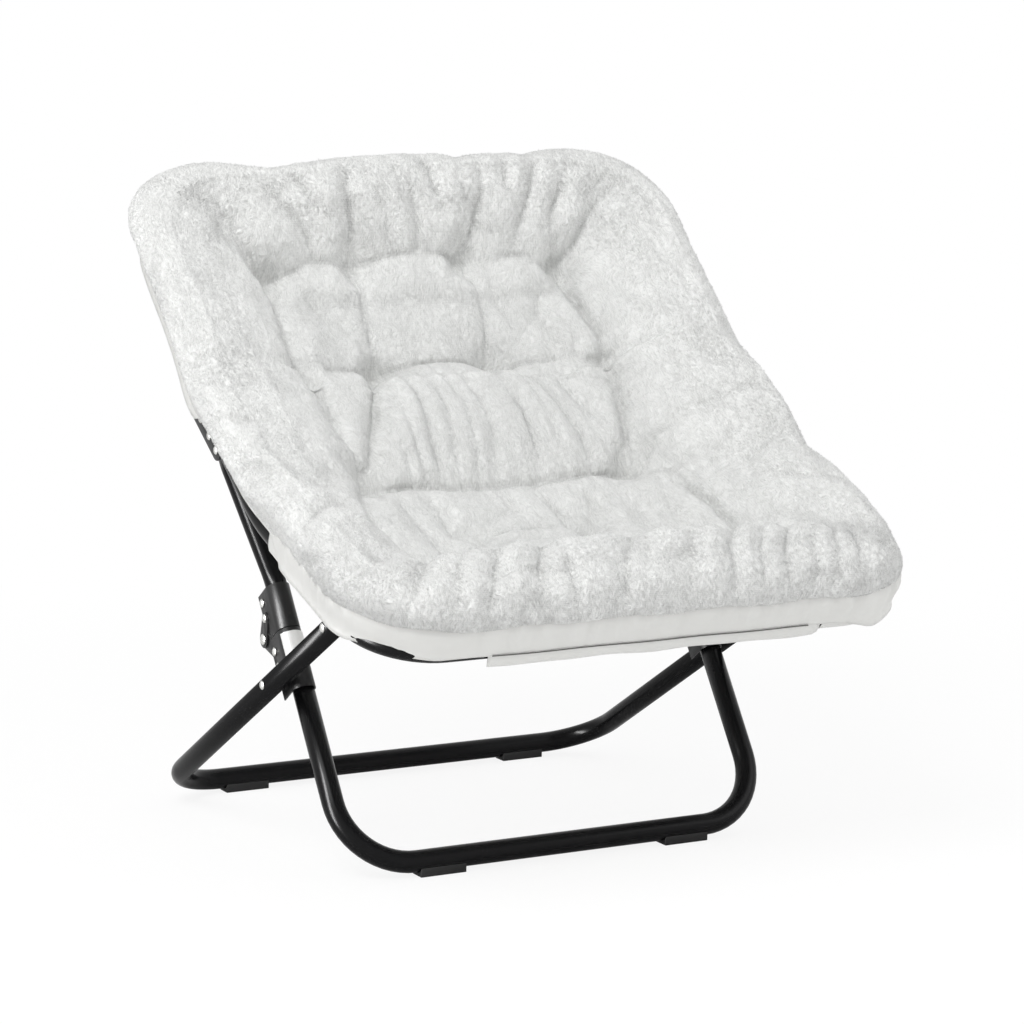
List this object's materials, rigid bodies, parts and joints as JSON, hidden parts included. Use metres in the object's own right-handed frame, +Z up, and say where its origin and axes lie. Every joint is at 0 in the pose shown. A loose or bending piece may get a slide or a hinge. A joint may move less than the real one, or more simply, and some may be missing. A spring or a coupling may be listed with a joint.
{
  "type": "folding saucer chair",
  "caption": "Folding saucer chair: a padded plush bowl on a hinged tube ring, carried by two crossing U legs with folding knuckles.",
  "frame": {"origin": "middle of the footprint box on the floor the feet stand on", "axes": "+X to the sitter's left (the viewer's right), +Y to the rear, +Z up"},
  "size_m": [0.708, 0.7296, 0.7827],
  "materials": {
    "black_tube": "semi-gloss black powder coat",
    "black_sheet": "satin black powder coat",
    "zinc_rivet": "zinc-plated rivet",
    "black_plastic": "matte",
    "white_film": "plain printed-stock film, blank",
    "white_plush": "long-pile plush over polyester fill"
  },
  "bodies": {
    "rear_legs": {"rear_leg_frame": "black_tube", "rear_leg_plug_left": "black_plastic", "rear_leg_plug_right": "black_plastic", "rear_foot_left": "black_plastic", "rear_foot_right": "black_plastic", "cross_rivet_left": "zinc_rivet", "cross_rivet_right": "zinc_rivet", "cross_spacer_left": "black_plastic", "cross_spacer_right": "black_plastic", "seat_rivet_left": "zinc_rivet", "seat_rivet_right": "zinc_rivet"},
    "front_legs": {"front_leg_frame": "black_tube", "plain_band": "white_film", "front_foot_left": "black_plastic", "front_foot_right": "black_plastic", "lower_knuckle_left": "black_sheet", "lower_knuckle_right": "black_sheet", "lower_rivet_1_left": "zinc_rivet", "lower_rivet_1_right": "zinc_rivet", "lower_rivet_2_left": "zinc_rivet", "lower_rivet_2_right": "zinc_rivet"},
    "risers": {"riser_left": "black_tube", "riser_right": "black_tube", "upper_knuckle_left": "black_sheet", "upper_knuckle_right": "black_sheet", "upper_rivet_1_left": "zinc_rivet", "upper_rivet_1_right": "zinc_rivet", "upper_rivet_2_left": "zinc_rivet", "upper_rivet_2_right": "zinc_rivet", "knuckle_pin_left": "zinc_rivet", "knuckle_pin_right": "zinc_rivet", "riser_rivet_left": "zinc_rivet", "riser_rivet_right": "zinc_rivet"},
    "seat_half": {"seat_ring": "black_tube", "seat_pad": "white_plush", "seat_bracket_left": "black_sheet", "seat_bracket_right": "black_sheet", "hinge_plate_inner_left": "black_sheet", "hinge_plate_inner_right": "black_sheet", "hinge_plate_outer_left": "black_sheet", "hinge_plate_outer_right": "black_sheet", "clamp_rivet_1_left": "zinc_rivet", "clamp_rivet_1_right": "zinc_rivet", "clamp_rivet_2_left": "zinc_rivet", "clamp_rivet_2_right": "zinc_rivet", "ring_pin_left": "zinc_rivet", "ring_pin_right": "zinc_rivet", "ring_stop_left": "zinc_rivet", "ring_stop_right": "zinc_rivet", "rim_gusset_left": "white_plush", "rim_gusset_right": "white_plush"},
    "back_half": {"back_ring": "black_tube", "back_pad": "white_plush"}
  },
  "joints": [
    {"name": "leg_fold", "type": "hinge", "parent": "rear_legs", "child": "front_legs", "pos_m": [0, 0.01952, 0.20097], "axis": [1, 0, 0], "range_deg": [0, 75]},
    {"name": "knuckle_fold", "type": "hinge", "parent": "front_legs", "child": "risers", "pos_m": [0, 0.07463, 0.24156], "axis": [1, 0, 0], "range_deg": [-97, 0]},
    {"name": "seat_tilt", "type": "hinge", "parent": "rear_legs", "child": "seat_half", "pos_m": [0, -0.14744, 0.29352], "axis": [1, 0, 0], "range_deg": [-1.7, 0]},
    {"name": "back_fold", "type": "hinge", "parent": "seat_half", "child": "back_half", "pos_m": [0, 0.10962, 0.49454], "axis": [1, 0, 0], "range_deg": [0, 83], "deforming": ["rim_gusset_left", "rim_gusset_right"]}
  ],
  "couplings": [
    {"joint": "knuckle_fold", "follows": "leg_fold", "ratio": -1.292},
    {"joint": "seat_tilt", "follows": "leg_fold", "ratio": -0.021}
  ]
}
